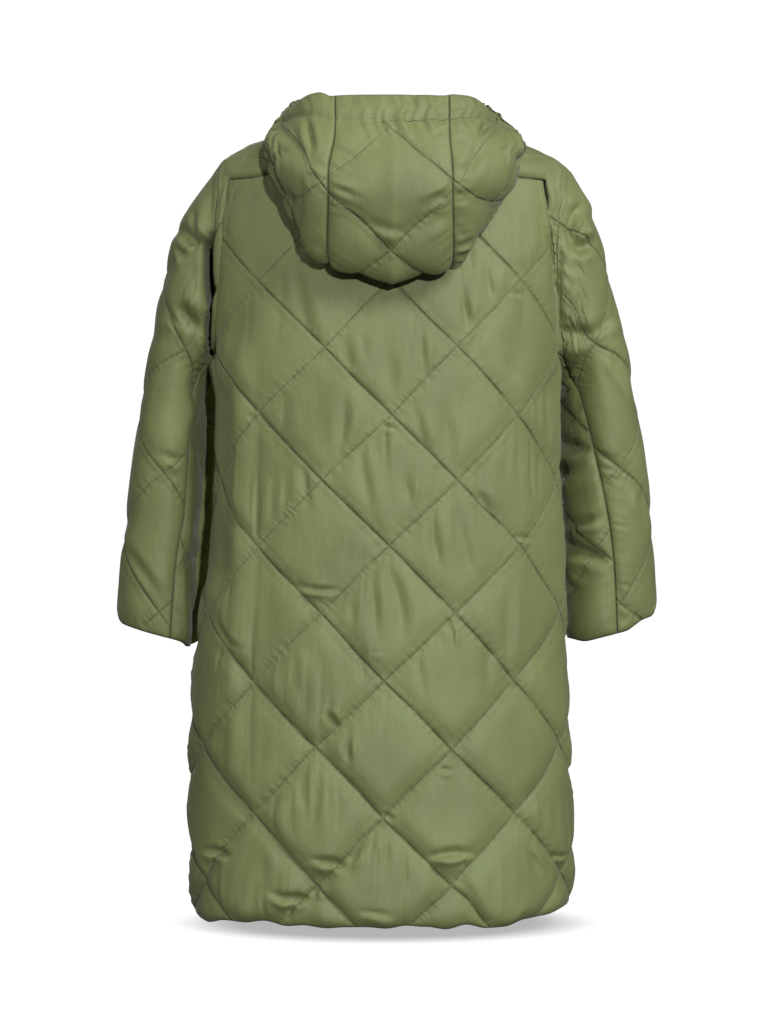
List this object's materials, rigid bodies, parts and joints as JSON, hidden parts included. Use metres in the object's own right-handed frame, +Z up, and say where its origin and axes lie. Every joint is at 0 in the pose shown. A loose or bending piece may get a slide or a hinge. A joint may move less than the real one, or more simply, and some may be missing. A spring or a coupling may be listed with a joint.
{
  "type": "hooded quilted parka",
  "caption": "Long diamond-quilted parka with a hood lying down the back, seamed sleeves and a front zip, filled out as if worn.",
  "frame": {"origin": "centre of the neck at shoulder level, where the wearer's shoulders carry the coat", "axes": "+Z up, the front of the coat faces -Y, the wearer's left is +X"},
  "size_m": [0.7334, 0.3795, 1.0821],
  "materials": {
    "quilted_shell": "light satin nylon taffeta, diamond quilted over wadding",
    "zip_tape": "woven polyester zip tape",
    "zip_metal": "zinc slider and pull, lacquered to match the cloth"
  },
  "bodies": {
    "coat": {"back": "quilted_shell", "hood_center": "quilted_shell", "front_left": "quilted_shell", "sleeve_left_upper": "quilted_shell", "sleeve_left_under": "quilted_shell", "hood_side_left": "quilted_shell", "front_right": "quilted_shell", "sleeve_right_upper": "quilted_shell", "sleeve_right_under": "quilted_shell", "hood_side_right": "quilted_shell", "zip_tape_left": "zip_tape", "zip_tape_right": "zip_tape", "zip_slider": "zip_metal"},
    "pull": {"zip_pull": "zip_metal"}
  },
  "joints": [
    {"name": "zip_pull_swing", "type": "hinge", "parent": "coat", "child": "pull", "pos_m": [0, -0.11279, 0.009], "axis": [-1, 0, 0], "range_deg": [0, 150]}
  ]
}
